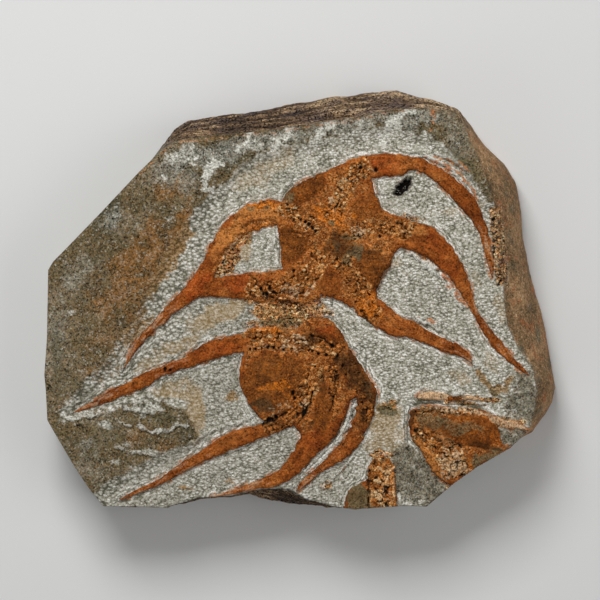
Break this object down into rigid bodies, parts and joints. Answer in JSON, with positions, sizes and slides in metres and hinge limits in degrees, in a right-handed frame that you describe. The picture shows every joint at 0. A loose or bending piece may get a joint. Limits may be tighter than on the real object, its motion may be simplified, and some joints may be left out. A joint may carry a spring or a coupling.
{
  "type": "fossil brittle star",
  "caption": "Fossil brittle stars in low relief on the carved upper face of a flat block of sandstone with sawn and broken sides.",
  "frame": {"origin": "middle of the outline's box, on the back face that the slab rests on", "axes": "+Z out of the fossil face, +X along the slab's longer side, +Y towards the broken side beyond the larger animal"},
  "size_m": [0.12, 0.0984, 0.0205],
  "materials": {
    "matrix": "matt fine sandstone, pale and stippled where carved, brown and rusty on the old surfaces",
    "fossil": "iron-stained mineral cast, matt orange brown with dark pits and cream grains"
  },
  "bodies": {
    "root": {"stone_slab": "matrix", "upper_star": "fossil", "lower_star": "fossil", "corner_star": "fossil", "edge_arm": "fossil", "loose_rays": "fossil"}
  },
  "joints": []
}
